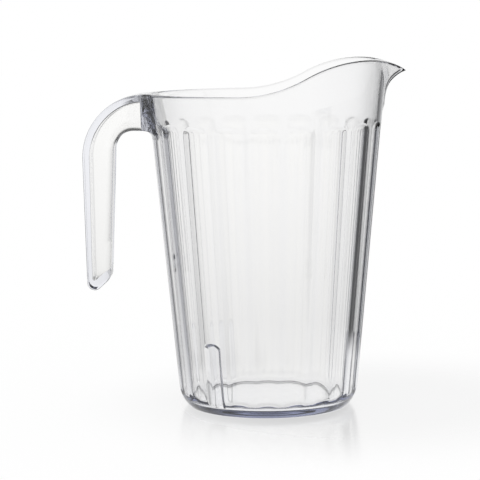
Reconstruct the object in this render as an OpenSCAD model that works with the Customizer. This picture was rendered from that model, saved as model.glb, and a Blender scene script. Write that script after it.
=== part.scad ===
// Clear plastic beer pitcher: a fluted, tapered jug with a drawn-up pouring lip,
// a handle with a free lower end welded to its collar, a welded-in base and
// three stacking lugs inside. Origin: centre of the foot, on the table.
// +Z is up, +X points to the pouring lip and -X to the handle.

/* [Body] */
// Height of the rim on the handle side
rim_h = 187; // [178:0.5:196]
// Outer diameter of the collar at that height
rim_d = 140.6; // [130:0.2:150]
// Diameter that the lines of the wall reach at the table
base_d = 105.38; // [98:0.02:112]
// Thickness of the wall
wall = 2.8; // [2.2:0.1:3.4]

/* [Flutes] */
// How many flutes run round the body
flute_count = 20; // [16:1:22]
// Height of the plain collar above the arched tops of the flutes
collar_h = 17.2; // [14:0.2:40]
// Depth of a flute at its top, below the plain wall
flute_depth = 1.2; // [0.8:0.05:1.5]
// Depth of a flute where it runs out at the base
flute_foot_depth = 0.85; // [0.6:0.05:1.2]
// Share of the pitch that a flute takes, the rest being the land
flute_share = 0.76; // [0.6:0.01:0.85]
// Radius of the run-out that ends a flute in an arch
flute_runout_r = 8.4; // [4:0.1:12]

/* [Base] */
// How far the foot's outer edge lies inside the lines of the wall
foot_inset = 4.9; // [3.5:0.1:7]
// Width of the ring that touches the table
foot_w = 3.8; // [2:0.1:5]
// Height of the hollow under the base
foot_rise = 1.6; // [0.8:0.1:2.2]
// Thickness of the floor
floor_t = 3.4; // [2.6:0.1:4.5]
// Radius of the outer corner between wall and foot
corner_r = 19; // [17:0.5:21]
// Radius of the inner corner between wall and floor
inner_corner_r = 6; // [4:0.5:8]
// Height of the step where the wall stands on the base
base_step_h = 2.4; // [1.8:0.1:3]

/* [Rim and lip] */
// Rise of the rim to its crest, on both sides of the lip
crest_rise = 19.3; // [12:0.1:25]
// How far the crest lies behind the front of the collar
crest_back = 10.3; // [4:0.1:16]
// Radius of the hollow sweep where the rim starts to rise
rise_r = 80; // [60:1:110]
// Radius of the round sweep up to the crest
crest_r = 75; // [60:1:110]
// Radius of the fall of the rim from the crest to the tip
pour_r = 44; // [38:0.5:60]
// Radius of the outward sweep under the lip
lip_r = 21; // [17:0.5:25]
// Depth from the crest to the start of that sweep
lip_depth = 27.1; // [23:0.1:31]
// How far inside the collar's face that sweep starts
lip_inset = 0.25; // [0.1:0.05:0.6]
// Lean of the lip's two flanks from its middle plane, in degrees
lip_flank = 57; // [45:1:65]
// Radius along the middle of the lip
lip_keel_r = 7; // [4:0.5:10]

/* [Handle] */
// How far the handle's back stands out from the collar
handle_out = 38.5; // [34:0.5:45]
// Length of the handle's back, down to its corner before it is rounded
handle_len = 122; // [105:0.5:135]
// Width of the handle
handle_w = 22; // [18:0.5:26]
// Radius of the outer bend
bend_outer_r = 38; // [34:0.5:42]
// Radius of the inner bend
bend_inner_r = 12; // [8:0.5:15]
// Depth of the arm at the collar
arm_depth = 21.5; // [18:0.5:25]
// Depth of the grip at the bend
grip_depth = 18.8; // [16:0.2:22]
// Depth of the grip at its lower end
grip_end_depth = 14; // [11:0.2:16]
// Rise of the grip's lower end from its back to its front
grip_end_rise = 12.3; // [8:0.1:14]
// Radius of the lower end at the grip's back
grip_end_back_r = 4.5; // [2:0.5:6]
// Radius of the lower end at the grip's front
grip_end_front_r = 6; // [2:0.5:8]
// Height of the wall that closes the hollow at the lower end
grip_end_wall = 7; // [4:0.5:9]
// Radius in the lower corner of the hollow inside the grip
channel_end_r = 2; // [1:0.5:4]
// Lean of the grip's back towards the jug, in degrees
grip_lean = 1.1; // [0:0.1:2]
// Thickness of the handle's back
handle_web = 4; // [2.5:0.1:5]
// Thickness of the handle's two side walls
handle_side = 3; // [2.2:0.1:4]
// Length of the solid root of the arm, out from the collar's top edge
arm_root = 11.5; // [8:0.5:15]
// Radius of the flare of the arm into the collar, seen from above
flare_r = 38; // [28:0.5:44]
// How far the flare cuts into the collar at the underside of the arm
flare_bite = 0.6; // [0.3:0.1:2]
// Radius under the arm where it meets the wall
underside_r = 5.5; // [3:0.5:8]

/* [Joints] */
// How far the base's spigot stays inside the start of the inner corner
spigot_inset = 1; // [0.5:0.1:2]
// Gap left for the weld between two pieces
weld_gap = 0.05; // [0.02:0.01:0.1]

/* [Stacking lugs] */
// Height of the top of a lug
lug_h = 43; // [35:0.5:55]
// Width of a lug
lug_w = 11.5; // [9:0.1:14]
// How far a lug stands in from the wall
lug_depth = 3; // [2:0.1:4]
// Radius of the arched top of a lug
lug_arch_r = 5; // [3:0.1:5.5]
// How many flutes lie between the front lug and each rear lug
lug_step = 7; // [6:1:7]

/* [Hidden] */
$fn = 96;
clear_plastic = [0.86, 0.88, 0.93, 0.45];
// How far a cut runs past the face that it opens
over = 1;
// Largest turn between two points of a rounded outline and of the rim, in degrees
arc_step = 6;
rim_step = 2;
// Straight length of the hollow's sides at the arm's root
channel_land = 1;
// How far a flute's cutter runs past the flute's edges, in degrees
flute_over = 2;
// Facets round the full circle of a flute's cutter
flute_facets = 288;

// Wall lines, as radii at a height
draft = atan((rim_d - base_d) / 2 / rim_h);
function outer_r(z) = rim_d / 2 - (rim_h - z) * tan(draft);
function inner_r(z) = outer_r(z) - wall / cos(draft);
crest_h = rim_h + crest_rise;
top_h = crest_h + over;
floor_h = foot_rise + floor_t;
foot_r = base_d / 2 - foot_inset;

// Outer corner: an arc that touches the wall and ends at the foot
corner_line_r = outer_r(0) - corner_r / cos(draft);
corner_run = foot_r - corner_line_r;
corner_along = corner_run * sin(draft) + sqrt(pow(corner_r, 2) - pow(corner_run * cos(draft), 2));
corner_c = [corner_line_r + corner_along * sin(draft), corner_along * cos(draft)];
corner_start = -asin(corner_c[1] / corner_r);
corner_touch_h = corner_c[1] - corner_r * sin(draft);

// Inner corner: an arc that touches the inner wall and the floor
inner_c_h = floor_h + inner_corner_r;
inner_c = [inner_r(inner_c_h) - inner_corner_r / cos(draft), inner_c_h];

// Spigot of the base, inside the wall
spigot_r = inner_c[0] - spigot_inset;

// Flutes: each is cut by a leaning cylinder whose upper end is rounded off
flute_top = rim_h - collar_h;
flute_pitch = 360 / flute_count;
flute_half = flute_pitch * flute_share / 2;
flute_half_w = outer_r(flute_top) * sin(flute_half);
flute_sagitta = flute_depth - outer_r(flute_top) * (1 - cos(flute_half));
flute_r = (pow(flute_half_w, 2) + pow(flute_sagitta, 2)) / (2 * flute_sagitta);
flute_sector = asin(flute_half_w / flute_r) + flute_over;
flute_start = [outer_r(flute_top) - flute_depth, flute_top];
flute_run = flute_start - [outer_r(corner_touch_h) - flute_foot_depth, corner_touch_h];
flute_lean = atan(flute_run[0] / flute_run[1]);
flute_arch = sqrt(2 * flute_runout_r * flute_depth - pow(flute_depth, 2));
flute_cut_t = flute_depth + 2 * over;

// Rim seen from the side: level, a hollow sweep, a round sweep to the crest, a fall to the tip
crest_x = rim_d / 2 - crest_back;
rise_a = acos(1 - crest_rise / (rise_r + crest_r));
turn_x = crest_x - crest_r * sin(rise_a);
rise_x = turn_x - rise_r * sin(rise_a);

// Lip: a keeled channel swept outwards about a level axis in front of the collar
lip_start_h = crest_h - lip_depth;
lip_axis_x = outer_r(lip_start_h) - lip_inset + lip_r;
lip_keel_c = lip_r + lip_keel_r;
lip_back = lip_axis_x - crest_x + lip_r / 2;

// Handle seen from the side, where u is the distance from the jug's axis
handle_reach = rim_d / 2 + handle_out;
handle_end_h = rim_h - handle_len;
arm_under_h = rim_h - arm_depth;
function back_u(z) = handle_reach - (rim_h - bend_outer_r - z) * tan(grip_lean);
end_in_h = handle_end_h + grip_end_rise;
end_in_u = back_u(end_in_h) - grip_end_depth;
grip_in_h = arm_under_h - bend_inner_r;
grip_in_u = back_u(grip_in_h) - grip_depth;
grip_in_slope = (grip_in_u - end_in_u) / (grip_in_h - end_in_h);
arm_under_u = grip_in_u + bend_inner_r * grip_in_slope;
function seat_u(z) = outer_r(z) - flute_depth;
root_u = inner_r(0);
channel_top_h = rim_h - handle_web;

// Flare of the arm seen from above: arcs that touch the handle's sides and cut into the collar
flare_y = handle_w / 2 + flare_r;
flare_u = sqrt(pow(outer_r(arm_under_h) - flare_bite + flare_r, 2) - pow(flare_y, 2));
flare_half = atan(flare_y / flare_u);
channel_root_u = rim_d / 2 + arm_root;
channel_flare_a = acos((flare_u - channel_root_u - channel_land) / (flare_r + handle_side));

// Turns of the three stacking lugs about the jug's axis
lug_angles = [0, lug_step * flute_pitch, -lug_step * flute_pitch];

// Points of an outline whose corners are given as [point, radius]
function unit(v) = v / norm(v);
function after_first(list) = [for (i = [1 : len(list) - 1]) list[i]];
function turned(c, r, from, to, step = arc_step) =
    let (n = max(1, ceil(abs(to - from) / step)))
    [for (i = [0 : n]) let (a = from + (to - from) * i / n) c + r * [cos(a), sin(a)]];
function corner(before, p, after, r) =
    let (
        a = unit(before - p),
        b = unit(after - p),
        half = acos(a * b) / 2,
        c = p + unit(a + b) * r / sin(half),
        start = p + a * r / tan(half) - c,
        from = atan2(start[1], start[0]),
        side = sign(a[0] * b[1] - a[1] * b[0])
    )
    turned(c, r, from, from - side * (180 - 2 * half));
function rounded(corners) =
    let (n = len(corners))
    [for (i = [0 : n - 1])
        let (p = corners[i][0], r = corners[i][1])
        each r == 0 ? [p] : corner(corners[(i + n - 1) % n][0], p, corners[(i + 1) % n][0], r)];

module outer_profile(gap) {
    corner = turned(corner_c + [gap, 0], corner_r, corner_start, -draft);
    polygon(concat([[0, 0]], corner, [[outer_r(top_h) + gap, top_h], [0, top_h]]));
}

module inner_profile(gap) {
    r = inner_corner_r - gap;
    end_h = top_h + over;
    corner = turned(inner_c, r, -90, -draft);
    end_r = inner_r(end_h) - gap / cos(draft);
    polygon(concat([[0, inner_c[1] - r]], corner, [[end_r, end_h], [0, end_h]]));
}

module outer_form(gap = 0) rotate_extrude() outer_profile(gap);

module cavity(gap = 0) rotate_extrude() inner_profile(gap);

module flute_section() {
    below = flute_r - flute_cut_t;
    runout = turned([flute_r - flute_runout_r, -flute_arch], flute_runout_r, 0, 90);
    end = [below, flute_runout_r - flute_arch];
    polygon(concat([[below, -flute_top], [flute_r, -flute_top]], runout, [end]));
}

module flute() {
    translate([flute_start[0], 0, flute_start[1]]) rotate([0, flute_lean, 0])
        translate([flute_r, 0, 0]) rotate([0, 0, 180 - flute_sector])
            rotate_extrude(angle = 2 * flute_sector, $fn = flute_facets) flute_section();
}

module flutes(about = 0, within = 360) {
    for (i = [0 : flute_count - 1]) {
        angle = i * flute_pitch;
        if (abs(angle - about) <= within) rotate([0, 0, angle]) flute();
    }
}

module rim_side() {
    half = lip_axis_x;
    fall_end = acos((half - crest_x) / pour_r);
    fall = turned([crest_x, crest_h - pour_r], pour_r, fall_end, 90, rim_step);
    crest = turned([crest_x, crest_h - crest_r], crest_r, 90, 90 + rise_a, rim_step);
    rise = turned([rise_x, rim_h + rise_r], rise_r, rise_a - 90, -90, rim_step);
    polygon(concat([[-half, 0], [half, 0]], fall, after_first(crest), after_first(rise), [[-half, rim_h]]));
}

module under_rim() {
    rotate([90, 0, 0]) linear_extrude(2 * lip_axis_x, center = true) rim_side();
}

module lip_section(thickness) {
    keel = turned([lip_keel_c, 0], lip_keel_r - thickness, 90 + lip_flank, 270 - lip_flank);
    flank = (lip_back - keel[0][0]) * tan(lip_flank);
    edge = keel[0][1] + flank;
    polygon(concat(keel, [[lip_back, -edge], [lip_back, edge]]));
}

module lip(thickness = 0) {
    translate([lip_axis_x, 0, lip_start_h]) rotate([90, 0, 0])
        rotate_extrude(angle = 90, start = 90) lip_section(thickness);
}

module jug_body() {
    color(clear_plastic) difference() {
        intersection() {
            union() {
                outer_form();
                lip();
            }
            under_rim();
        }
        flutes();
        cavity();
        lip(wall);
        cylinder(r = base_d, h = base_step_h);
        cylinder(r = spigot_r + weld_gap, h = floor_h + over);
    }
}

module base() {
    color(clear_plastic) difference() {
        union() {
            intersection() {
                outer_form();
                cylinder(r = base_d, h = base_step_h);
            }
            cylinder(r = spigot_r, h = floor_h);
        }
        translate([0, 0, -over]) cylinder(r = foot_r - foot_w, h = foot_rise + over);
    }
}

module handle_side_outline() {
    polygon(rounded([
        [[root_u, rim_h], 0],
        [[back_u(rim_h), rim_h], bend_outer_r],
        [[back_u(handle_end_h), handle_end_h], grip_end_back_r],
        [[end_in_u, end_in_h], grip_end_front_r],
        [[arm_under_u, arm_under_h], bend_inner_r],
        [[root_u, arm_under_h], 0]
    ]));
}

module channel_side_outline() {
    end_h = handle_end_h + grip_end_wall;
    polygon(rounded([
        [[root_u, channel_top_h], 0],
        [[back_u(channel_top_h) - handle_web, channel_top_h], bend_outer_r - handle_web],
        [[back_u(end_h) - handle_web, end_h], channel_end_r],
        [[end_in_u, end_h + grip_end_rise], 0],
        [[root_u, end_h + grip_end_rise], 0]
    ]));
}

module handle_plan(inset, root, flare_a) {
    half_w = handle_w / 2 - inset;
    flare = turned([flare_u, flare_y], flare_r + inset, 270, 180 + flare_a);
    side = concat([[handle_reach + over, half_w]], flare, [[root, flare[len(flare) - 1][1]]]);
    mirrored = [for (i = [len(side) - 1 : -1 : 0]) [side[i][0], -side[i][1]]];
    polygon(concat(side, mirrored));
}

module underside_section() {
    from = [handle_reach, arm_under_h];
    fillet = corner(from, [seat_u(arm_under_h), arm_under_h], [seat_u(0), 0], underside_r);
    inside_h = arm_under_h + over;
    end = [root_u, fillet[len(fillet) - 1][1]];
    polygon(concat([end, [root_u, inside_h], [fillet[0][0], inside_h]], fillet));
}

module handle_form() {
    rotate([90, 0, 0]) linear_extrude(2 * flare_y, center = true) handle_side_outline();
    rotate([0, 0, -2 * flare_half]) rotate_extrude(angle = 4 * flare_half) underside_section();
}

module channel_form() {
    rotate([90, 0, 0]) linear_extrude(2 * flare_y, center = true) channel_side_outline();
}

module within_plan(inset, root, flare_a) {
    mirror([1, 0, 0]) intersection() {
        children();
        linear_extrude(crest_h) handle_plan(inset, root, flare_a);
    }
}

module handle() {
    color(clear_plastic) difference() {
        within_plan(0, root_u, flare_half) handle_form();
        within_plan(handle_side, channel_root_u, channel_flare_a) channel_form();
        difference() {
            outer_form(weld_gap);
            flutes(about = 180, within = flare_half);
        }
    }
}

module stacking_lug(angle) {
    color(clear_plastic) intersection() {
        cavity(weld_gap);
        rotate([0, 0, angle]) translate([inner_r(0) - lug_depth, 0, 0]) rotate([0, draft, 0])
            rotate([90, 0, 90]) linear_extrude(lug_depth + wall) polygon(rounded([
                [[-lug_w / 2, 0], 0],
                [[lug_w / 2, 0], 0],
                [[lug_w / 2, lug_h / cos(draft)], lug_arch_r],
                [[-lug_w / 2, lug_h / cos(draft)], lug_arch_r]
            ]));
    }
}

jug_body();
base();
handle();
stacking_lug(lug_angles[0]);  // stacking_lug_1
stacking_lug(lug_angles[1]);  // stacking_lug_2
stacking_lug(lug_angles[2]);  // stacking_lug_3
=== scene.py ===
"""Dressed model of a clear plastic pitcher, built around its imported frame."""

import logging
import math
from collections.abc import Sequence
from dataclasses import dataclass, fields
from enum import Enum

import bmesh
import bpy
import numpy as np
from mathutils import Matrix, Vector


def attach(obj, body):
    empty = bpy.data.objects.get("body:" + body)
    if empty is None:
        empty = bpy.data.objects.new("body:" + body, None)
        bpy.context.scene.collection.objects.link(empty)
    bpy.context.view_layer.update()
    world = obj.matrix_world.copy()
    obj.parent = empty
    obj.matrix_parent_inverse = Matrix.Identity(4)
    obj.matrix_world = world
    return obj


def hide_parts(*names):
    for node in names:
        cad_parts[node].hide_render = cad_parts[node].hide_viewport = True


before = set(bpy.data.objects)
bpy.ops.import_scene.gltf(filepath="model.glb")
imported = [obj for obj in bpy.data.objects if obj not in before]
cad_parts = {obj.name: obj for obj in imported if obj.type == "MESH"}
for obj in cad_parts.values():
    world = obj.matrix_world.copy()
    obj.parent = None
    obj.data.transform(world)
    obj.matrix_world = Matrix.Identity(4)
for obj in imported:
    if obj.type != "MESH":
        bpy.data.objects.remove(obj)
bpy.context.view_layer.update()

LOG = logging.getLogger("pitcher")
MM = 0.001
SAME = 0.01  # Lengths that differ by less, in millimetres, count as equal.
WHITE = (1.0, 1.0, 1.0, 1.0)
RIM_HEIGHT = 187.0
RIM_RADIUS = 70.3
BASE_RADIUS = 52.69
FLUTES = 20
LUG_STEPS = (0, 7, -7)  # Flutes from the lip round to each stacking lug.
COLUMNS_PER_FLUTE = 20

Stations = Sequence[tuple[float, "Field | float"]]
Tones = tuple[tuple[float, float], ...]


class Slot(Enum):
    """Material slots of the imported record."""

    BODY = "clear_body"
    HANDLE = "clear_handle"


class Field:
    """A number at every point of a node tree, with Python's own arithmetic."""

    def __init__(self, tree: bpy.types.NodeTree, socket: bpy.types.NodeSocket) -> None:
        """Keeps the tree and the socket that gives the number."""
        self.tree = tree
        self.socket = socket

    def math(self, operation: str, *others: "Field | float") -> "Field":
        """Adds one Math node.

        Args:
            operation: Name of the Math node's operation.
            others: The operands after this one.

        Returns:
            The node's result.
        """
        node = self.tree.nodes.new("ShaderNodeMath")
        node.operation = operation
        for slot, value in zip(node.inputs, (self, *others)):
            if isinstance(value, Field):
                self.tree.links.new(value.socket, slot)
            else:
                slot.default_value = value
        return Field(self.tree, node.outputs[0])

    def __add__(self, other: "Field | float") -> "Field":
        """Sum."""
        return self.math("ADD", other)

    __radd__ = __add__

    def __sub__(self, other: "Field | float") -> "Field":
        """Difference."""
        return self.math("SUBTRACT", other)

    def __rsub__(self, other: float) -> "Field":
        """Difference from a plain number."""
        return (self * -1.0) + other

    def __mul__(self, other: "Field | float") -> "Field":
        """Product."""
        return self.math("MULTIPLY", other)

    __rmul__ = __mul__

    def __truediv__(self, other: "Field | float") -> "Field":
        """Quotient."""
        return self.math("DIVIDE", other)

    def __rtruediv__(self, other: float) -> "Field":
        """A plain number divided by this one."""
        return self.math("POWER", -1.0) * other

    def __neg__(self) -> "Field":
        """The same number below nothing."""
        return self * -1.0

    def __abs__(self) -> "Field":
        """Size without sign."""
        return self.math("ABSOLUTE")

    def sin(self) -> "Field":
        """Sine of an angle in radians."""
        return self.math("SINE")

    def cos(self) -> "Field":
        """Cosine of an angle in radians."""
        return self.math("COSINE")

    def arcsin(self) -> "Field":
        """Angle in radians that has this sine."""
        return self.math("ARCSINE")

    def arctan(self) -> "Field":
        """Angle in radians that has this tangent."""
        return self.math("ARCTANGENT")

    def floor(self) -> "Field":
        """Whole number below."""
        return self.math("FLOOR")

    def squared(self) -> "Field":
        """Product with itself."""
        return self * self

    def root(self) -> "Field":
        """Square root, and 0 below 0."""
        return self.least(0.0).math("SQRT")

    def least(self, low: "Field | float") -> "Field":
        """This number, but never below low."""
        return self.math("MAXIMUM", low)

    def most(self, high: "Field | float") -> "Field":
        """This number, but never above high."""
        return self.math("MINIMUM", high)

    def wrapped(self) -> "Field":
        """The same angle between minus and plus half a turn."""
        return self.math("WRAP", math.pi, -math.pi)

    def clamped(self, low: "Field | float", high: "Field | float") -> "Field":
        """This number held between two others."""
        return self.least(low).most(high)

    def eased(self) -> "Field":
        """Smooth step from 0 to 1."""
        part = self.clamped(0.0, 1.0)
        return part * part * (3.0 - 2.0 * part)

    def blended_min(self, other: "Field", reach: "Field | float") -> "Field":
        """The smaller of two numbers, with the change from one to the other rounded off over reach."""
        near = (reach - abs(self - other)).least(0.0)
        return self.most(other) - near.squared() * (0.25 / reach)

    def blended_max(self, other: "Field", reach: "Field | float") -> "Field":
        """The larger of two numbers, with the change from one to the other rounded off over reach."""
        near = (reach - abs(self - other)).least(0.0)
        return self.least(other) + near.squared() * (0.25 / reach)


def between(start: "Field | float", end: "Field | float", part: Field) -> Field:
    """Number that lies part of the way from start to end."""
    return part * (end - start) + start


def stepped(part: Field, stations: Stations) -> Field:
    """Reads a line of straight stretches, level before its first station and after its last.

    Args:
        part: Place on the line.
        stations: Places and the values there, in rising order of place.

    Returns:
        The value at that place.
    """
    value: "Field | float" = stations[0][1]
    for (low, a), (high, b) in zip(stations, stations[1:]):
        value = ((part - low) / (high - low)).clamped(0.0, 1.0) * (b - a) + value
    return value


@dataclass(frozen=True)
class ClearPlastic:
    """Finish of a clear polished styrene plastic.

    The sizes of the marks are in millimetres.
    """

    name: str
    colour: tuple[float, float, float] = (1.0, 0.997, 0.985)
    ior: float = 1.56
    roughness: float = 0.012
    wear: float = 0.035
    absorption: tuple[float, float, float] = (0.42, 0.48, 0.74)
    density: float = 16.0
    wave_size: float = 16.0
    wave_strength: float = 0.02

    def material(self, marks: bpy.types.NodeTree) -> bpy.types.Material:
        """Builds the finish as a material.

        Args:
            marks: The shared group of moulding marks.

        Returns:
            The new material.
        """
        made = bpy.data.materials.new(self.name)
        made.use_nodes = True
        tree = made.node_tree
        shader = tree.nodes["Principled BSDF"]
        shader.inputs["Base Color"].default_value = (*self.colour, 1.0)
        shader.inputs["Transmission Weight"].default_value = 1.0
        shader.inputs["IOR"].default_value = self.ior
        place = tree.nodes.new("ShaderNodeTexCoord")
        group = tree.nodes.new("ShaderNodeGroup")
        group.node_tree = marks
        group.inputs["Roughness"].default_value = self.roughness
        group.inputs["Wear"].default_value = self.wear
        group.inputs["Wave size"].default_value = 1.0 / (self.wave_size * MM)
        tree.links.new(place.outputs["Object"], group.inputs["Place"])
        tree.links.new(group.outputs["Roughness"], shader.inputs["Roughness"])
        bump = tree.nodes.new("ShaderNodeBump")
        bump.inputs["Strength"].default_value = self.wave_strength
        bump.inputs["Distance"].default_value = MM
        tree.links.new(group.outputs["Height"], bump.inputs["Height"])
        tree.links.new(bump.outputs["Normal"], shader.inputs["Normal"])
        volume = tree.nodes.new("ShaderNodeVolumeAbsorption")
        volume.inputs["Color"].default_value = (*self.absorption, 1.0)
        volume.inputs["Density"].default_value = self.density
        tree.links.new(volume.outputs["Volume"], tree.nodes["Material Output"].inputs["Volume"])
        return made


def moulding_marks(rub_scale: float = 90.0, rub_detail: float = 6.0, rub_start: float = 0.56,
                   rub_contrast: float = 5.0) -> bpy.types.NodeTree:
    """Builds the shader group of slow waves and fine rubbing that moulded plastic shows.

    Args:
        rub_scale: Rubbed patches to a metre.
        rub_detail: Steps of finer detail in their outlines.
        rub_start: Level of the noise above which the surface is rubbed.
        rub_contrast: How sharply the patches are bounded.

    Returns:
        The group, with roughness and height that change over the surface.
    """
    group = bpy.data.node_groups.new("moulding_marks", "ShaderNodeTree")
    sockets = (("Place", "NodeSocketVector"), ("Roughness", "NodeSocketFloat"),
               ("Wear", "NodeSocketFloat"), ("Wave size", "NodeSocketFloat"))
    for name, kind in sockets:
        group.interface.new_socket(name, in_out="INPUT", socket_type=kind)
    for name in ("Roughness", "Height"):
        group.interface.new_socket(name, in_out="OUTPUT", socket_type="NodeSocketFloat")
    inside = group.nodes.new("NodeGroupInput")
    result = group.nodes.new("NodeGroupOutput")
    waves = group.nodes.new("ShaderNodeTexNoise")
    waves.inputs["Detail"].default_value = 1.0
    group.links.new(inside.outputs["Place"], waves.inputs["Vector"])
    group.links.new(inside.outputs["Wave size"], waves.inputs["Scale"])
    group.links.new(waves.outputs["Fac"], result.inputs["Height"])
    rubbed = group.nodes.new("ShaderNodeTexNoise")
    rubbed.inputs["Scale"].default_value = rub_scale
    rubbed.inputs["Detail"].default_value = rub_detail
    group.links.new(inside.outputs["Place"], rubbed.inputs["Vector"])
    patches = Field(group, rubbed.outputs["Fac"])
    worn = ((patches - rub_start) * rub_contrast).eased()
    rough = worn * Field(group, inside.outputs["Wear"]) + Field(group, inside.outputs["Roughness"])
    group.links.new(rough.socket, result.inputs["Roughness"])
    return group


@dataclass
class Jug:
    """Fluted jug with its collar, lip, base and stacking lugs.

    Sizes are in millimetres, and turns about the jug's axis are in radians from the lip. The bead is the rim's
    rounded edge, which thins by a share of its height where it nears the lip.
    """

    rim_height: float = RIM_HEIGHT
    rim_radius: float = RIM_RADIUS
    base_radius: float = BASE_RADIUS
    wall: float = 2.8
    rim_round: float = 1.1
    bead_thinning: float = 0.75
    bead_turn: float = 0.42
    bead_fade: float = 0.3
    collar: float = 17.2
    flute_depth: float = 1.2
    flute_foot_depth: float = 0.85
    flute_share: float = 0.76
    flute_runout: float = 8.4
    flute_edge: float = 0.35
    foot_inset: float = 4.9
    foot_width: float = 3.8
    foot_rise: float = 1.6
    foot_edge: float = 0.8
    floor: float = 3.4
    corner_radius: float = 19.0
    inner_corner: float = 6.0
    crest_rise: float = 19.3
    crest_back: float = 10.3
    rise_radius: float = 80.0
    crest_radius: float = 75.0
    pour_radius: float = 44.0
    lip_radius: float = 21.0
    lip_depth: float = 27.1
    lip_inset: float = 0.25
    lip_keel: float = 7.0
    lip_lean: float = math.radians(57.0)
    lip_swing: float = 0.6
    lip_blend: float = 4.0
    lug_height: float = 43.0
    lug_width: float = 11.5
    lug_depth: float = 3.0
    lug_round: float = 0.5
    lug_arch: float = 3.0

    def build(self, finish: bpy.types.Material) -> bpy.types.Object:
        """Makes the jug as one closed mesh by a tree of Geometry Nodes.

        Args:
            finish: Material of the jug.

        Returns:
            The finished piece.
        """
        maker = JugTree(self)
        holder = bpy.data.objects.new("jug_rule", bpy.data.meshes.new("jug_rule"))
        bpy.context.scene.collection.objects.link(holder)
        rule = holder.modifiers.new("jug_rule", "NODES")
        tree = maker.tree(finish)
        rule.node_group = tree
        for item in tree.interface.items_tree:
            if item.in_out == "INPUT" and item.socket_type == "NodeSocketFloat":
                rule[item.identifier] = float(getattr(self, item.name))
        bpy.context.view_layer.update()
        shape = holder.evaluated_get(bpy.context.evaluated_depsgraph_get())
        mesh = bpy.data.meshes.new_from_object(shape)
        mesh.name = "jug"
        bpy.data.objects.remove(holder)
        piece = bpy.data.objects.new("jug", mesh)
        bpy.context.scene.collection.objects.link(piece)
        return piece

    def dress(self, piece: bpy.types.Object) -> None:
        """Sets the jug in the frame in place of its wall, base and lugs."""
        stand_in(piece, ("jug_body", "base", "stacking_lug_1", "stacking_lug_2", "stacking_lug_3"))


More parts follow.
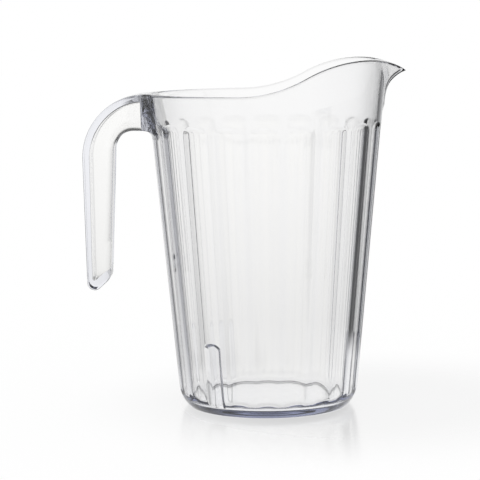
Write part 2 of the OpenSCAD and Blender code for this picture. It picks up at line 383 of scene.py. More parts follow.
class JugTree:
    """The rule of the jug's shape as a tree of Geometry Nodes.

    The columns lie closer at the edges of a flute, and the rows lie closer where the shape turns most.
    """

    column_spread: Stations = ((0.0, 0.0), (0.5, 0.345), (0.8, 0.415), (1.0, 0.5))
    lip_clearing: float = 400.0
    lip_undercut: float = 0.6
    ring_rows: tuple[float, float] = (1.5, 1.0)
    foot_rows: float = 14.0
    arch_rows: float = 12.0
    arch_margin: float = 2.5
    collar_rows: float = 10.0
    lug_margin: float = 5.0
    lug_rows: float = 8.0

    def __init__(self, sizes: Jug) -> None:
        """Keeps the sizes that the tree's inputs start from."""
        self.sizes = sizes

    def tree(self, finish: bpy.types.Material) -> bpy.types.NodeTree:
        """Builds the tree.

        Args:
            finish: Material that the tree sets.

        Returns:
            A tree with one named input for each size.
        """
        tree = bpy.data.node_groups.new("jug_rule", "GeometryNodeTree")
        self.nodes, self.links = tree.nodes, tree.links
        tree.interface.new_socket("Geometry", in_out="OUTPUT", socket_type="NodeSocketGeometry")
        for size in fields(self.sizes):
            socket = tree.interface.new_socket(size.name, in_out="INPUT", socket_type="NodeSocketFloat")
            socket.default_value = getattr(self.sizes, size.name)
        given = tree.nodes.new("NodeGroupInput")
        for size in fields(self.sizes):
            setattr(self, size.name, Field(tree, given.outputs[size.name]))
        place = tree.nodes.new("GeometryNodeInputPosition")
        apart = tree.nodes.new("ShaderNodeSeparateXYZ")
        tree.links.new(place.outputs[0], apart.inputs[0])
        self.around = Field(tree, apart.outputs["X"]) + 0.5
        self.along = Field(tree, apart.outputs["Y"]) + 0.5
        self.lines()
        joined = tree.nodes.new("GeometryNodeJoinGeometry")
        for sheet in (self.floor_sheet(), self.inner_corner_sheet(), self.lower_inside_sheet(),
                      self.upper_inside_sheet(), self.rim_sheet(), self.collar_sheet(),
                      self.fluted_sheet(), self.base_corner_sheet(), self.underside_sheet()):
            tree.links.new(sheet, joined.inputs[0])
        merged = tree.nodes.new("GeometryNodeMergeByDistance")
        merged.inputs["Distance"].default_value = SAME * MM
        smooth = tree.nodes.new("GeometryNodeSetShadeSmooth")
        solid = tree.nodes.new("GeometryNodeRealizeInstances")
        dressed = tree.nodes.new("GeometryNodeSetMaterial")
        dressed.inputs["Material"].default_value = finish
        result = tree.nodes.new("NodeGroupOutput")
        chain = (joined, merged, smooth, solid, dressed, result)
        for first, second in zip(chain, chain[1:]):
            tree.links.new(first.outputs[0], second.inputs["Geometry"])
        return tree

    def lines(self) -> None:
        """Works out the lines and angles that the sheets share."""
        cells = self.around * FLUTES
        cell = cells.floor()
        offset = cells - cell - 0.5
        size = abs(offset)
        pitch = 2.0 * math.pi / FLUTES
        spread = stepped(size * 2.0, self.column_spread)
        self.from_flute = spread * pitch
        self.turn = (cell + spread * offset.math("SIGN")) * pitch
        self.slope = (self.rim_radius - self.base_radius) / self.rim_height
        self.cosine = 1.0 / (self.slope.squared() + 1.0).root()
        self.sine = self.slope * self.cosine
        self.floor_height = self.foot_rise + self.floor
        self.foot_radius = self.base_radius - self.foot_inset
        self.crest_height = self.rim_height + self.crest_rise
        self.crest_x = self.rim_radius - self.crest_back
        line = self.base_radius - self.corner_radius / self.cosine
        run = self.foot_radius - line
        reach = run * self.sine + (self.corner_radius.squared() - (run * self.cosine).squared()).root()
        self.corner_x = line + reach * self.sine
        self.corner_height = reach * self.cosine
        self.corner_top = self.corner_height - self.corner_radius * self.sine
        self.inner_height = self.floor_height + self.inner_corner
        self.inner_x = self.inside(self.inner_height) - self.inner_corner / self.cosine
        self.flute_top = self.rim_height - self.collar
        self.flute_lines()
        self.lip_start = self.crest_height - self.lip_depth
        self.lip_x = self.outside(self.lip_start) - self.lip_inset + self.lip_radius
        self.rim_lines()
        facing = abs(self.turn.wrapped())
        thinned = ((self.bead_turn - facing) / self.bead_fade).eased() * self.bead_thinning
        self.bead = self.rim_round * (1.0 - thinned)
        self.beyond = (facing - self.lip_swing).least(0.0) * self.lip_clearing
        self.outer_rim = self.rim_height_at(inner=False) - self.bead
        self.inner_rim = self.rim_height_at(inner=True) - self.bead
        turns = [abs((self.turn - step * pitch).wrapped()) for step in LUG_STEPS]
        self.from_lug = turns[0].most(turns[1]).most(turns[2])

    def rim_lines(self) -> None:
        """Works out where the sweeps of the rim, seen from the side, meet."""
        lean = (1.0 - self.crest_rise / (self.rise_radius + self.crest_radius)).math("ARCCOSINE")
        self.turn_x = self.crest_x - self.crest_radius * lean.sin()
        self.rise_x = self.turn_x - self.rise_radius * lean.sin()
        self.crest_drop = self.crest_radius * lean.cos()

    def flute_lines(self) -> None:
        """Works out the cylinder that cuts a flute, and its rounded upper end."""
        top_radius = self.outside(self.flute_top)
        half = self.flute_share * (math.pi / FLUTES)
        half_width = top_radius * half.sin()
        sagitta = self.flute_depth - top_radius * (1.0 - half.cos())
        self.flute_radius = (half_width.squared() + sagitta.squared()) / (2.0 * sagitta)
        self.flute_start = top_radius - self.flute_depth
        end = self.outside(self.corner_top) - self.flute_foot_depth
        self.flute_slope = (self.flute_start - end) / (self.flute_top - self.corner_top)
        self.flute_arch = (2.0 * self.flute_runout * self.flute_depth - self.flute_depth.squared()).root()

    def outside(self, height: Field) -> Field:
        """Radius of the wall's outer line at a height."""
        return self.base_radius + height * self.slope

    def inside(self, height: Field) -> Field:
        """Radius of the wall's inner line at a height."""
        return self.outside(height) - self.wall / self.cosine

    def fluted(self, radius: Field, height: Field) -> Field:
        """Cuts the flutes into an outer radius.

        Args:
            radius: Plain outer radius.
            height: Height of the point.

        Returns:
            The radius left by the flutes.
        """
        up = (height - self.flute_top + self.flute_arch).least(0.0)
        runout = self.flute_runout - (self.flute_runout.squared() - up.squared()).root()
        bed = self.flute_start - (self.flute_top - height) * self.flute_slope + runout
        centre = bed + self.flute_radius
        across = centre * self.from_flute.sin()
        groove = centre * self.from_flute.cos() - (self.flute_radius.squared() - across.squared()).root()
        return radius.blended_min(groove, self.flute_edge)

    def rim(self, x: Field) -> Field:
        """Reads the rim's line, seen from the side.

        Args:
            x: Place along the jug's middle line, towards the lip.

        Returns:
            The height of the rim there.
        """
        hollow = x.clamped(self.rise_x, self.turn_x) - self.rise_x
        rise = self.rise_radius - (self.rise_radius.squared() - hollow.squared()).root()
        back = x.clamped(self.turn_x, self.crest_x) - self.crest_x
        crest = (self.crest_radius.squared() - back.squared()).root() - self.crest_drop
        ahead = (x - self.crest_x).least(0.0)
        fall = self.pour_radius - (self.pour_radius.squared() - ahead.squared()).root()
        return self.rim_height + rise + crest - fall

    def lip_reach(self, y: Field, thickness: "Field | float") -> Field:
        """Works out how far the lip's sheet lies from the level line that it is swept about.

        Args:
            y: Place across the jug.
            thickness: Distance of the sheet in from the lip's outer face.

        Returns:
            The distance.
        """
        keel = self.lip_keel - thickness
        touch = keel * self.lip_lean.cos()
        side = abs(y)
        curve = keel - (keel.squared() - side.most(touch).squared()).root()
        flank = (side - touch).least(0.0) * (self.lip_lean.cos() / self.lip_lean.sin())
        return self.lip_radius + thickness + curve + flank + self.beyond

    def wall_point(self, height: Field, inner: bool) -> tuple[Field, Field]:
        """Point of the collar's outer or inner sheet, with the lip drawn out of it.

        Args:
            height: Height of the point.
            inner: True for the inner sheet.

        Returns:
            The point's x and y.
        """
        radius = self.inside(height) if inner else self.outside(height)
        x, y = radius * self.turn.cos(), radius * self.turn.sin()
        reach = self.lip_reach(y, self.wall if inner else 0.0)
        up = (height - self.lip_start).least(0.0)
        under = (self.lip_start - height).least(0.0)
        lip = self.lip_x - (reach.squared() - up.squared()).root() - under * self.lip_undercut
        return x.blended_max(lip, self.lip_blend), y

    def rim_height_at(self, inner: bool) -> Field:
        """Works out where the outer or inner sheet meets the rim.

        Args:
            inner: True for the inner sheet.

        Returns:
            The height of the rim on that sheet.
        """
        height: Field = self.rim_height + self.crest_rise * 0.5
        for _ in range(2):
            radius = self.inside(height) if inner else self.outside(height)
            x = radius * self.turn.cos()
            height = self.rim(x)
        reach = self.lip_reach(radius * self.turn.sin(), self.wall if inner else 0.0)
        run = self.crest_x - self.lip_x
        rise = self.crest_height - self.pour_radius - self.lip_start
        apart = (run.squared() + rise.squared()).root()
        along = (reach.squared() - self.pour_radius.squared() + apart.squared()) / (2.0 * apart)
        off = (reach.squared() - along.squared()).root()
        lip = self.lip_x + (along * run + off * rise) / apart
        return self.rim(x.blended_max(lip, self.lip_blend))

    def lug(self, height: Field) -> Field:
        """Works out how far the stacking lugs stand in from the inner wall.

        Args:
            height: Height of the point.

        Returns:
            The distance from the wall, 0 beside and above the lugs.
        """
        side = self.from_lug * self.inside(height)
        edge = ((self.lug_width * 0.5 - side) / self.lug_round).eased()
        top = self.lug_height - self.lug_arch * (side * 2.0 / self.lug_width).squared()
        return edge * ((top - height) / self.lug_round).eased() * self.lug_depth

    def sheet(self, rows: int, x: Field, y: Field, z: Field) -> bpy.types.NodeSocket:
        """Lays one sheet of the jug's surface.

        Args:
            rows: Faces along the sheet.
            x: Place of each point towards the lip.
            y: Place of each point across.
            z: Height of each point.

        Returns:
            The sheet's geometry.
        """
        grid = self.nodes.new("GeometryNodeMeshGrid")
        grid.inputs["Size X"].default_value = 1.0
        grid.inputs["Size Y"].default_value = 1.0
        grid.inputs["Vertices X"].default_value = FLUTES * COLUMNS_PER_FLUTE + 1
        grid.inputs["Vertices Y"].default_value = rows + 1
        point = self.nodes.new("ShaderNodeCombineXYZ")
        for slot, value in zip(point.inputs, (x, y, z)):
            self.links.new((value * MM).socket, slot)
        placed = self.nodes.new("GeometryNodeSetPosition")
        self.links.new(grid.outputs["Mesh"], placed.inputs["Geometry"])
        self.links.new(point.outputs[0], placed.inputs["Position"])
        return placed.outputs["Geometry"]

    def turned(self, rows: int, radius: Field, height: Field) -> bpy.types.NodeSocket:
        """Lays one sheet that runs round the jug's axis at a radius and height."""
        return self.sheet(rows, radius * self.turn.cos(), radius * self.turn.sin(), height)

    def underside_sheet(self) -> bpy.types.NodeSocket:
        """Lays the hollow under the base and the foot's ring.

        Returns:
            The sheet's geometry.
        """
        ring = self.foot_radius - self.foot_width
        before, after = self.ring_rows
        radius = stepped(self.along, ((0.0, 0.0), (0.25, ring - before), (0.8, ring + after), (1.0, self.foot_radius)))
        edge = ((radius - ring + self.foot_edge) / (self.foot_edge * 2.0)).eased()
        return self.turned(rows=16, radius=radius, height=self.foot_rise * (1.0 - edge))

    def base_corner_sheet(self) -> bpy.types.NodeSocket:
        """Lays the round outer corner between foot and wall, where the flutes run out.

        Returns:
            The sheet's geometry.
        """
        start = -(self.corner_height / self.corner_radius).arcsin()
        angle = between(start, -self.slope.arctan(), self.along)
        radius = self.corner_x + self.corner_radius * angle.cos()
        height = self.corner_height + self.corner_radius * angle.sin()
        return self.turned(rows=26, radius=self.fluted(radius, height), height=height)

    def fluted_sheet(self) -> bpy.types.NodeSocket:
        """Lays the fluted wall, from the base corner to above the arches.

        Returns:
            The sheet's geometry.
        """
        height = stepped(self.along, ((0.0, self.corner_top), (0.16, self.corner_top + self.foot_rows),
                                      (0.45, self.flute_top - self.arch_rows),
                                      (1.0, self.flute_top + self.arch_margin)))
        return self.turned(rows=62, radius=self.fluted(self.outside(height), height), height=height)

    def collar_sheet(self) -> bpy.types.NodeSocket:
        """Lays the plain collar with the outside of the lip.

        Returns:
            The sheet's geometry.
        """
        height = between(self.flute_top + self.arch_margin, self.outer_rim, self.along)
        x, y = self.wall_point(height, inner=False)
        return self.sheet(rows=30, x=x, y=y, z=height)

    def rim_sheet(self) -> bpy.types.NodeSocket:
        """Lays the rounded edge of the rim and lip.

        Returns:
            The sheet's geometry.
        """
        outer_x, outer_y = self.wall_point(self.outer_rim, inner=False)
        inner_x, inner_y = self.wall_point(self.inner_rim, inner=True)
        angle = self.along * math.pi
        part = (1.0 - angle.cos()) * 0.5
        height = between(self.outer_rim, self.inner_rim, part) + angle.sin() * self.bead
        return self.sheet(rows=8, x=between(outer_x, inner_x, part), y=between(outer_y, inner_y, part), z=height)

    def upper_inside_sheet(self) -> bpy.types.NodeSocket:
        """Lays the inner wall with the channel of the lip.

        Returns:
            The sheet's geometry.
        """
        height = stepped(self.along, ((0.0, self.inner_rim), (0.9, self.flute_top - self.collar_rows),
                                      (1.0, self.lug_height + self.lug_margin)))
        x, y = self.wall_point(height, inner=True)
        return self.sheet(rows=34, x=x, y=y, z=height)

    def lower_inside_sheet(self) -> bpy.types.NodeSocket:
        """Lays the inner wall with the stacking lugs.

        Returns:
            The sheet's geometry.
        """
        height = stepped(self.along, ((0.0, self.lug_height + self.lug_margin), (0.6, self.lug_height - self.lug_rows),
                                      (1.0, self.inner_height - self.inner_corner * self.sine)))
        return self.turned(rows=30, radius=self.inside(height) - self.lug(height), height=height)

    def inner_corner_sheet(self) -> bpy.types.NodeSocket:
        """Lays the round inner corner between wall and floor.

        Returns:
            The sheet's geometry.
        """
        angle = between(-self.slope.arctan(), -0.5 * math.pi, self.along)
        radius = self.inner_x + self.inner_corner * angle.cos()
        height = self.inner_height + self.inner_corner * angle.sin()
        behind = self.inside(height) - self.lug(height)
        return self.turned(rows=10, radius=radius.most(behind), height=height)

    def floor_sheet(self) -> bpy.types.NodeSocket:
        """Lays the floor of the jug."""
        return self.turned(rows=5, radius=self.inner_x * (1.0 - self.along), height=self.floor_height)


@dataclass
class Handle:
    """J-shaped handle, a channel open towards the jug.

    Sizes are in millimetres, and angles in radians. The end steps are distances from the lower end at which sections
    are drawn, above and below the wall that closes the hollow there. The shares keep the roundings of a thin section
    inside its depth.
    """

    rim_height: float = RIM_HEIGHT
    rim_radius: float = RIM_RADIUS
    slope: float = (RIM_RADIUS - BASE_RADIUS) / RIM_HEIGHT
    seat: float = 0.05
    out: float = 38.48
    length: float = 122.0
    width: float = 22.0
    web: float = 4.0
    side: float = 3.0
    bend_outer: float = 38.0
    bend_inner: float = 12.0
    arm_depth: float = 21.5
    grip_depth: float = 18.8
    grip_end_depth: float = 14.0
    end_rise: float = 12.3
    end_back_round: float = 4.5
    end_front_round: float = 6.0
    end_wall: float = 5.2
    end_step: float = 0.25
    upper_end_steps: tuple[float, ...] = (16.0, 13.5, 11.0, 9.0, 8.0, 7.2, 6.7, 6.2, 5.8, 5.5)
    lower_end_steps: tuple[float, ...] = (4.4, 3.6, 2.9, 2.4, 1.9, 1.5, 1.1, 0.8, 0.5, 0.3, 0.12, 0.0)
    clear_of_end: float = 100.0
    stretch_points: tuple[int, ...] = (24, 2, 40, 24)
    hollow_round: float = 2.0
    root_block: float = 3.6
    root_step: float = 0.4
    root_reach: float = 10.0
    lean: float = math.radians(1.1)
    flare: float = 38.0
    flare_bite: float = 0.6
    underside: float = 5.5
    back_edge: float = 1.3
    lip_drop: float = 5.4
    lip_across: float = 2.5
    inner_round: float = 1.0
    least_hollow: float = 1.0
    edge_share: float = 0.3
    drop_share: float = 0.4
    weld: float = 0.001
    sharp_angle: float = math.radians(45.0)

    def back(self, height: float) -> float:
        """Distance of the handle's back from the jug's axis at a height."""
        low = self.rim_height - self.bend_outer - height
        return self.rim_radius + self.out - low * math.tan(self.lean)

    def collar(self, height: float) -> float:
        """Radius of the collar at a height."""
        return self.rim_radius - (self.rim_height - height) * self.slope

    def rounded(self, before: np.ndarray, corner: np.ndarray, after: np.ndarray, radius: float,
                count: int) -> np.ndarray:
        """Points of a rounded corner of an outline.

        Args:
            before: Point before the corner.
            corner: The corner itself.
            after: Point after the corner.
            radius: Radius of the rounding.
            count: Number of points.

        Returns:
            The points, one per row.
        """
        a = (before - corner) / np.linalg.norm(before - corner)
        b = (after - corner) / np.linalg.norm(after - corner)
        half = math.acos(float(a @ b)) / 2.0
        middle = (a + b) / np.linalg.norm(a + b)
        centre = corner + middle * radius / math.sin(half)
        first = corner + a * radius / math.tan(half) - centre
        start = math.atan2(first[1], first[0])
        sense = -np.sign(a[0] * b[1] - a[1] * b[0])
        angles = start + sense * (math.pi - 2.0 * half) * np.linspace(0.0, 1.0, count)
        return centre + radius * np.stack([np.cos(angles), np.sin(angles)], axis=1)

    def outlines(self) -> tuple[np.ndarray, np.ndarray, np.ndarray]:
        """Matches points of the handle's back line with points of its front line, seen from the side.

        Returns:
            The points of the back, those of the front, and their distances from the lower end.
        """
        under = self.rim_height - self.arm_depth
        end = self.rim_height - self.length
        front_end = np.array([self.back(end + self.end_rise) - self.grip_end_depth, end + self.end_rise])
        grip_top = np.array([self.back(under - self.bend_inner) - self.grip_depth, under - self.bend_inner])
        lean = (grip_top - front_end) / (grip_top[1] - front_end[1])
        inner_corner = grip_top + lean * self.bend_inner
        back_end = np.array([self.back(end), end])
        top = np.array([self.collar(self.rim_height) + self.seat, self.rim_height])
        outer_corner = np.array([self.back(self.rim_height), self.rim_height])
        seat = np.array([self.collar(under) + self.seat, under])
        seat_low = np.array([self.collar(0.0) + self.seat, 0.0])
        fillet = self.rounded(seat_low, seat, inner_corner, self.underside, count=10)
        inner_bend = self.rounded(seat, inner_corner, front_end, self.bend_inner, count=24)
        outer_bend = self.rounded(top, outer_corner, back_end, self.bend_outer, count=49)
        back_round = self.rounded(outer_corner, back_end, front_end, self.end_back_round, count=24)
        front_round = self.rounded(inner_corner, front_end, back_end, self.end_front_round, count=24)
        across = (front_end - back_end) / np.linalg.norm(front_end - back_end)
        inward = np.array([across[1], -across[0]])
        inward = inward * np.sign(inward @ (grip_top - back_end))
        down = np.array([*self.upper_end_steps, self.end_wall, self.end_wall - self.end_step, *self.lower_end_steps])
        lower_back = self.at_depths(np.vstack([outer_bend[-1], back_round]), back_end, inward, down)
        lower_front = self.at_depths(np.vstack([inner_bend[-1], front_round]), back_end, inward, down)
        upper_back, upper_front = np.vstack([top, outer_bend]), np.vstack([fillet, inner_bend])
        block = self.rim_radius + self.root_block
        outer = (*self.split(upper_back, (block, block + self.root_step)), np.vstack([outer_bend[-1], lower_back[0]]))
        inner = (*self.split(upper_front, (block, block + self.root_step)), np.vstack([inner_bend[-1], lower_front[0]]))
        backs, fronts = [], []
        for first, second, count in zip(outer, inner, self.stretch_points):
            backs.append(self.resampled(first, count)[:-1])
            fronts.append(self.resampled(second, count)[:-1])
        plain = sum(len(part) for part in backs)
        depths = np.r_[np.full(plain, self.clear_of_end), down]
        return np.vstack([*backs, lower_back]), np.vstack([*fronts, lower_front]), depths

    def split(self, line: np.ndarray, radii: Sequence[float]) -> list[np.ndarray]:
        """Cuts a line that runs out from the jug at given distances from the axis.

        Args:
            line: The line, with rising distance up to the last cut.
            radii: The distances.

        Returns:
            The stretches in order.
        """
        parts, rest = [], line
        for radius in radii:
            after = int(np.argmax(rest[:, 0] > radius))
            low, high = rest[after - 1], rest[after]
            cut = low + (high - low) * (radius - low[0]) / (high[0] - low[0])
            parts.append(np.vstack([rest[:after], cut]))
            rest = np.vstack([cut, rest[after:]])
        return [*parts, rest]

    def at_depths(self, line: np.ndarray, origin: np.ndarray, inward: np.ndarray, depths: np.ndarray) -> np.ndarray:
        """Points of a line at given distances from the handle's lower end.

        Args:
            line: The line, running towards the end.
            origin: A point of the end.
            inward: Direction away from the end.
            depths: The distances.

        Returns:
            The points, one per row.
        """
        far = (line - origin) @ inward
        return np.stack([np.interp(depths, far[::-1], line[::-1, i]) for i in (0, 1)], axis=1)

    def resampled(self, line: np.ndarray, count: int) -> np.ndarray:
        """Sets points at even distances along a line.

        Args:
            line: The line.
            count: Number of points.

        Returns:
            The points, one per row.
        """
        steps = np.r_[0.0, np.cumsum(np.linalg.norm(np.diff(line, axis=0), axis=1))]
        at = np.linspace(0.0, steps[-1], count)
        return np.stack([np.interp(at, steps, line[:, i]) for i in (0, 1)], axis=1)

    def half_width(self, radius: float) -> tuple[float, float]:
        """Half width of the flared arm at a distance from the jug's axis.

        Args:
            radius: Distance from the axis.

        Returns:
            The half width, and the share of the collar's roundness that the section has there.
        """
        under = self.rim_height - self.arm_depth
        centre_y = self.width / 2.0 + self.flare
        reach = self.collar(under) - self.flare_bite + self.flare
        centre_u = math.sqrt(reach * reach - centre_y * centre_y)
        if radius >= centre_u:
            return self.width / 2.0, 0.0
        roundness = min(1.0, (centre_u - radius) / (centre_u - self.rim_radius))
        plain = centre_y - math.sqrt(self.flare**2 - (centre_u - radius) ** 2)
        cosine = (radius**2 + reach**2 - self.flare**2) / (2.0 * radius * reach)
        bowed = radius * math.sin(math.atan2(centre_y, centre_u) - math.acos(min(1.0, cosine)))
        return roundness * bowed + (1.0 - roundness) * plain, roundness

    def section(self, depth: float, web: float, closed: bool) -> list[tuple[float, float, bool]]:
        """Half of the channel's section, from the middle of the back to the middle of the hollow.

        Args:
            depth: Distance from back line to front line.
            web: Thickness of the back.
            closed: True where the section has no hollow.

        Returns:
            Points as the distance from the back, and either the share of the half width or, where the last
            value is true, the distance in from the side.
        """
        edge = min(self.back_edge, depth * self.edge_share)
        drop = min(self.lip_drop, depth * self.drop_share)
        quarter = np.linspace(0.0, math.pi / 2.0, 6)
        points: list[tuple[float, float, bool]] = [(0.0, 0.0, False), (0.0, 0.5, False)]
        points += [(edge * (1.0 - math.sin(a)), edge * (1.0 - math.cos(a)), True) for a in quarter[::-1]]
        points += [(edge + (depth - drop - edge) * part, 0.0, True) for part in (0.33, 0.67)]
        points += [(depth - drop + drop * math.sin(a), self.lip_across * (1.0 - math.cos(a)), True)
                   for a in np.linspace(0.0, math.pi / 2.0, 9)]
        small = self.side - self.lip_across
        floor = depth if closed else min(web, depth - self.least_hollow)
        hollow = 0.0 if closed else min(self.inner_round, (depth - floor) * self.edge_share)
        tip = 0.0 if closed else min(small, (depth - floor) * self.edge_share)
        points += [(depth - tip * (1.0 - math.cos(a)), self.lip_across + small * math.sin(a), True)
                   for a in quarter[2::2]]
        points.append(((depth + floor) / 2.0, self.side, True))
        points += [(floor + hollow * (1.0 - math.sin(a)), self.side + self.inner_round * (1.0 - math.cos(a)), True)
                   for a in quarter]
        points += [(floor, 0.5, False), (floor, 0.0, False)]
        return points

    def build(self, finish: bpy.types.Material) -> bpy.types.Object:
        """Makes the handle as one closed mesh, drawn from section to section.

        Args:
            finish: Material of the handle.

        Returns:
            The finished piece.
        """
        shape = bmesh.new()
        rings = []
        for back, front, left in zip(*self.outlines()):
            depth = float(np.linalg.norm(front - back))
            near_end = max(0.0, self.hollow_round - max(0.0, left - self.end_wall))
            fill = self.hollow_round - math.sqrt(self.hollow_round**2 - near_end**2)
            by_collar = min(back[0], front[0]) < self.rim_radius + self.root_block + SAME
            root = by_collar and back[1] > self.rim_height - self.root_reach
            rounding = max(0.0, self.back_edge - left)
            narrow = self.back_edge - math.sqrt(self.back_edge**2 - rounding**2)
            half = self.section(depth, self.web + fill, closed=root or left < self.end_wall - self.end_step / 2.0)
            rings.append(self.ring(shape, back, front, half, narrow))
        for first, second in zip(rings, rings[1:]):
            for i, point in enumerate(first):
                follow = (i + 1) % len(first)
                shape.faces.new((point, first[follow], second[follow], second[i]))
        shape.faces.new(rings[0])
        shape.faces.new(list(reversed(rings[-1])))
        bmesh.ops.remove_doubles(shape, verts=shape.verts, dist=self.weld * MM)
        bmesh.ops.triangulate(shape, faces=[f for f in shape.faces if len(f.verts) > 4])
        bmesh.ops.recalc_face_normals(shape, faces=shape.faces)
        mesh = bpy.data.meshes.new("handle_shell")
        shape.to_mesh(mesh)
        shape.free()
        mesh.shade_smooth()
        mesh.set_sharp_from_angle(angle=self.sharp_angle)
        mesh.materials.append(finish)
        piece = bpy.data.objects.new("handle_shell", mesh)
        bpy.context.scene.collection.objects.link(piece)
        return piece

    def dress(self, piece: bpy.types.Object) -> None:
        """Sets the handle in the frame in place of its node."""
        stand_in(piece, ("handle",))

    def ring(self, shape: bmesh.types.BMesh, back: np.ndarray, front: np.ndarray,
             half: list[tuple[float, float, bool]], narrow: float) -> list[bmesh.types.BMVert]:
        """Adds one section of the handle.

        Args:
            shape: The mesh in the making.
            back: Point of the back line, as distance from the axis and height.
            front: Point of the front line.
            half: Half of the section.
            narrow: How much the rounded lower end draws each side in.

        Returns:
            The section's points in order.
        """
        way = (front - back) / float(np.linalg.norm(front - back))
        right, left = [], []
        for number, (down, value, from_side) in enumerate(half):
            radius, height = back + way * down
            width, roundness = self.half_width(float(radius))
            width -= narrow
            margin = self.back_edge if number < 2 else self.side + self.inner_round
            y = width - value if from_side else (width - margin) * value
            u = math.sqrt(max(radius * radius - roundness * y * y, 0.0))
            right.append(shape.verts.new((-u * MM, y * MM, height * MM)))
            if from_side or value:
                left.append(shape.verts.new((-u * MM, -y * MM, height * MM)))
        return right + list(reversed(left))


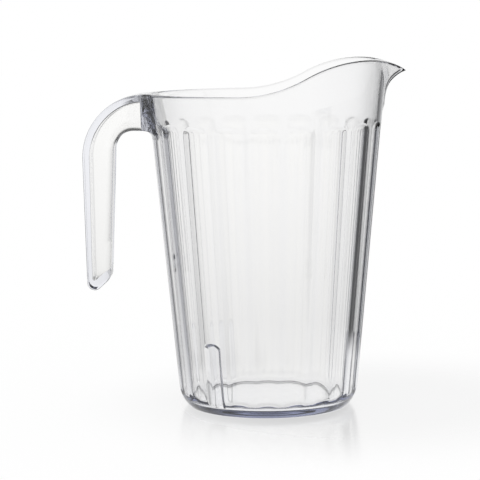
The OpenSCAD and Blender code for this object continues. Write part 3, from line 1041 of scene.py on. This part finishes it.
@dataclass
class Studio:
    """Floor, light and camera. Lengths are in millimetres.

    The depths are distances over the floor, and the sides are directions in degrees, from straight behind the pitcher
    towards its lip. Each has the brightness there, as seen through the plastic: at the sides of the floor, of its far
    part, and for light that the plastic has mirrored. On the floor these are painted shade, seen only through or off
    the plastic: a painted shadow that is darker near the pitcher, and painted shade to the sides. Light that is
    mirrored more and more often inside the plastic is darkened to the mirrored shade tone, as painted shade on the
    floor and as dimmer surroundings. The ceiling and the backdrop are shares of a direction upwards and to the back.
    """

    eye: tuple[float, float, float] = (14.0, -1164.8, 237.1)
    yaw: float = math.radians(-1.485)
    pitch: float = math.radians(6.774)
    roll: float = math.radians(-0.662)
    focal_pixels: float = 1959.2
    picture: float = 480.0
    sensor: float = 36.0
    sight: float = 100000.0
    floor_half: float = 6000.0
    floor_drop: float = 0.2
    floor_roughness: float = 0.16
    floor_ior: float = 1.55
    near_floor: tuple[float, float] = (100.0, 190.0)
    side_start: float = 55.0
    steady: float = 0.92
    # Painted shadow on the floor, seen only through or off the plastic: darker near the pitcher.
    depths: Tones = (
        (30.0, 0.95), (150.0, 0.86), (310.0, 0.85), (670.0, 0.91), (1250.0, 0.955), (2100.0, 0.98), (3600.0, 1.0))
    sides: Tones = (
        # Painted shade on the floor to the sides, seen only through or off the plastic.
        (-76.0, 1.0), (-62.0, 0.85), (-45.0, 0.8), (-36.0, 0.88), (-20.0, 1.0), (8.0, 1.0), (15.0, 0.9), (25.0, 0.82),
        (38.0, 0.76), (58.0, 0.76), (72.0, 1.0))
    # The next two tables are painted shade on the floor and dimmer light in the surroundings.
    far_sides: Tones = (
        (-76.0, 1.0), (-60.0, 0.8), (-40.0, 0.8), (-22.0, 1.0), (4.0, 1.0), (8.0, 0.98), (12.0, 0.95), (15.0, 0.88),
        (20.0, 0.78), (58.0, 0.78), (72.0, 1.0))
    mirrored_sides: Tones = (
        (-140.0, 1.0), (-110.0, 0.9), (-75.0, 0.85), (-45.0, 0.7), (-36.0, 0.9), (-20.0, 1.0), (8.0, 1.0), (15.0, 0.7),
        (25.0, 0.3), (38.0, 0.05), (60.0, 0.05), (85.0, 0.6), (110.0, 0.75), (140.0, 1.0))
    # Darkening after mirroring: painted shade on the floor, dimmer light in the surroundings.
    mirrored_shade_span: tuple[float, float] = (1.0, 4.0)
    mirrored_shade_tone: float = 0.6
    far_floor: tuple[float, float] = (1300.0, 2200.0)
    shine_reach: tuple[float, float] = (60.0, 185.0)
    ceiling: tuple[float, float] = (0.1, 0.3)
    ceiling_tone: float = 0.08
    backdrop: tuple[float, float] = (0.6, 0.85)
    backdrop_rise: float = 0.1
    bounces: int = 32
    mirror_bounces: int = 12

    def camera(self) -> bpy.types.Object:
        """Places the camera where the photograph was taken from.

        Returns:
            The camera.
        """
        made = bpy.data.objects.new("camera", bpy.data.cameras.new("camera"))
        made.data.sensor_width = self.sensor
        made.data.sensor_fit = "AUTO"
        made.data.lens = self.sensor * self.focal_pixels / self.picture
        made.data.clip_end = self.sight * MM
        ahead = Vector((math.sin(self.yaw) * math.cos(self.pitch), math.cos(self.yaw) * math.cos(self.pitch),
                        -math.sin(self.pitch)))
        right = Vector((math.cos(self.yaw), -math.sin(self.yaw), 0.0))
        up = right.cross(ahead)
        tilted = right * math.cos(self.roll) + up * math.sin(self.roll)
        upright = up * math.cos(self.roll) - right * math.sin(self.roll)
        turn = Matrix((tilted, upright, -ahead)).transposed().to_4x4()
        made.matrix_world = Matrix.Translation(Vector(self.eye) * MM) @ turn
        bpy.context.scene.collection.objects.link(made)
        bpy.context.scene.camera = made
        return made

    def floor(self) -> bpy.types.Object:
        """Lays the pale polished floor.

        Returns:
            The floor, which takes the pitcher's shadow and a soft reflection of it, and carries painted shade where it
            is seen through or off the plastic.
        """
        half = self.floor_half * MM
        mesh = bpy.data.meshes.new("floor")
        mesh.from_pydata([(-half, -half, 0.0), (half, -half, 0.0), (half, half, 0.0), (-half, half, 0.0)], [],
                         [(0, 1, 2, 3)])
        made = bpy.data.materials.new("pale_floor")
        made.use_nodes = True
        tree = made.node_tree
        tree.nodes.remove(tree.nodes["Principled BSDF"])
        place = tree.nodes.new("ShaderNodeTexCoord")
        apart = tree.nodes.new("ShaderNodeSeparateXYZ")
        tree.links.new(place.outputs["Object"], apart.inputs[0])
        x = Field(tree, apart.outputs["X"]) - self.side_start * MM
        y = Field(tree, apart.outputs["Y"])
        reach = (x.squared() + y.squared()).root() / MM
        path = tree.nodes.new("ShaderNodeLightPath")
        turns = Field(tree, path.outputs["Glossy Depth"])
        # Painted shade on the floor for rays through or off the plastic: darker to the sides, near the pitcher and
        # after mirroring.
        beside = between(self.around(x, y, self.sides), self.around(x, y, self.far_sides),
                         self.part(reach, self.far_floor))
        beside = between(beside, self.around(x, y, self.mirrored_sides), turns.most(1.0))
        behind = stepped(reach, self.depths) * between(1.0, beside, self.part(reach, self.near_floor))
        # Painted shade: the floor seen after mirroring is darkened further.
        behind = behind * self.shade_after_mirroring(turns)
        seen = Field(tree, path.outputs["Is Camera Ray"])
        bent = Field(tree, path.outputs["Is Glossy Ray"]).least(Field(tree, path.outputs["Is Transmission Ray"]))
        matt = tree.nodes.new("ShaderNodeBsdfDiffuse")
        matt.inputs["Color"].default_value = WHITE
        glow = tree.nodes.new("ShaderNodeEmission")
        shine = tree.nodes.new("ShaderNodeBsdfGlossy")
        shine.inputs["Roughness"].default_value = self.floor_roughness
        gloss = tree.nodes.new("ShaderNodeFresnel")
        gloss.inputs["IOR"].default_value = self.floor_ior
        # The floor's emission is plain white for camera rays and the painted shade tones for rays through or off the
        # plastic.
        tree.links.new(between(1.0, behind, bent).socket, glow.inputs["Strength"])
        under = tree.nodes.new("ShaderNodeMixShader")
        over = tree.nodes.new("ShaderNodeMixShader")
        polish = Field(tree, gloss.outputs[0]) * seen * (1.0 - self.part(reach, self.shine_reach))
        for mixed, part, low, high in ((under, bent + seen * self.steady, matt, glow), (over, polish, under, shine)):
            tree.links.new(part.socket, mixed.inputs["Fac"])
            tree.links.new(low.outputs[0], mixed.inputs[1])
            tree.links.new(high.outputs[0], mixed.inputs[2])
        tree.links.new(over.outputs[0], tree.nodes["Material Output"].inputs["Surface"])
        mesh.materials.append(made)
        piece = bpy.data.objects.new("floor", mesh)
        piece.location.z = -self.floor_drop * MM
        bpy.context.scene.collection.objects.link(piece)
        return piece

    def part(self, reach: Field, span: tuple[float, float]) -> Field:
        """How far along a span a length is, from 0 to 1."""
        return ((reach - span[0]) / (span[1] - span[0])).eased()

    def shade_after_mirroring(self, turns: Field) -> Field:
        """Brightness that is left after a ray was mirrored a number of times: painted shade on the floor, dimmer light
        in the surroundings.
        """
        return between(1.0, self.mirrored_shade_tone, self.part(turns, self.mirrored_shade_span))

    def around(self, x: Field, y: Field, tones: Tones) -> Field:
        """Reads how bright the surroundings are in one direction over the floor.

        Args:
            x: Direction's share along the line from handle to lip.
            y: Direction's share away from the camera.
            tones: Directions in degrees and the brightness there.

        Returns:
            The brightness, where 1 is white.
        """
        return stepped(x.math("ARCTAN2", y) * math.degrees(1.0), tones)

    def light(self) -> None:
        """Sets the white surroundings, darker to both sides where the plastic bends the view that way."""
        world = bpy.data.worlds.new("studio")
        world.use_nodes = True
        tree = world.node_tree
        ground = tree.nodes["Background"]
        place = tree.nodes.new("ShaderNodeTexCoord")
        apart = tree.nodes.new("ShaderNodeSeparateXYZ")
        tree.links.new(place.outputs["Generated"], apart.inputs[0])
        path = tree.nodes.new("ShaderNodeLightPath")
        x, y = Field(tree, apart.outputs["X"]), Field(tree, apart.outputs["Y"])
        turns = Field(tree, path.outputs["Glossy Depth"])
        there = between(self.around(x, y, self.far_sides), self.around(x, y, self.mirrored_sides), turns.most(1.0))
        there = there * self.shade_after_mirroring(turns)
        rise = self.part(y, self.backdrop) * self.backdrop_rise
        above = 1.0 - self.part(Field(tree, apart.outputs["Z"]) - rise, self.ceiling) * (1.0 - self.ceiling_tone)
        strength = 1.0 - (1.0 - there * above) * Field(tree, path.outputs["Is Transmission Ray"])
        tree.links.new(strength.socket, ground.inputs["Strength"])
        ground.inputs["Color"].default_value = WHITE
        bpy.context.scene.world = world
        cycles = bpy.context.scene.cycles
        cycles.max_bounces = self.bounces
        cycles.glossy_bounces = self.mirror_bounces
        cycles.transmission_bounces = self.bounces


def stand_in(piece: bpy.types.Object, nodes: Sequence[str]) -> None:
    """Lets a piece ride on the frame in place of its nodes.

    Args:
        piece: The finished piece.
        nodes: Names of the nodes that it stands for.
    """
    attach(piece, "root")
    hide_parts(*nodes)
    LOG.info("%s: %d faces, stands for %s", piece.name, len(piece.data.polygons), ", ".join(nodes))


def main() -> None:
    """Builds the pitcher and its studio."""
    logging.basicConfig(level=logging.INFO, format="%(name)s: %(message)s")
    bpy.context.scene.view_settings.view_transform = "Standard"
    marks = moulding_marks()
    jug = Jug()
    jug.dress(jug.build(ClearPlastic("clear_jug").material(marks)))
    handle = Handle()
    handle.dress(handle.build(ClearPlastic("clear_handle", density=9.0).material(marks)))
    studio = Studio()
    studio.camera()
    studio.floor()
    studio.light()


if __name__ == "__main__":
    main()
